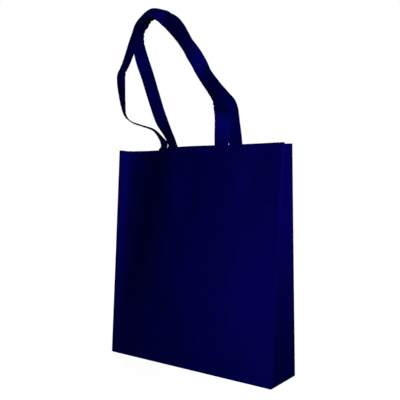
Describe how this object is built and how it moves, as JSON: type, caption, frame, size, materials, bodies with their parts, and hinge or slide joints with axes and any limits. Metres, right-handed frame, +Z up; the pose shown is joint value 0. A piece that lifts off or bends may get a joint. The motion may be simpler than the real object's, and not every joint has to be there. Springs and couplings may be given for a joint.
{
  "type": "non-woven tote bag",
  "caption": "Soft upright shopping bag of non-woven cloth with a folded side gusset, an open hemmed mouth and long carrying handles sewn inside the rim.",
  "frame": {"origin": "centre of the flat base, on the surface that the bag stands on", "axes": "+X along the width to the right as seen from the front, -Y towards the front, +Z up to the handles"},
  "size_m": [0.38, 0.1026, 0.7118],
  "materials": {
    "cloth": "matt spunbond non-woven, navy blue",
    "strap": "matt spunbond non-woven strap, navy blue"
  },
  "bodies": {
    "root": {"front_panel": "cloth", "back_panel": "cloth", "gusset_strip": "cloth", "front_handle": "strap", "back_handle": "strap"}
  },
  "joints": []
}
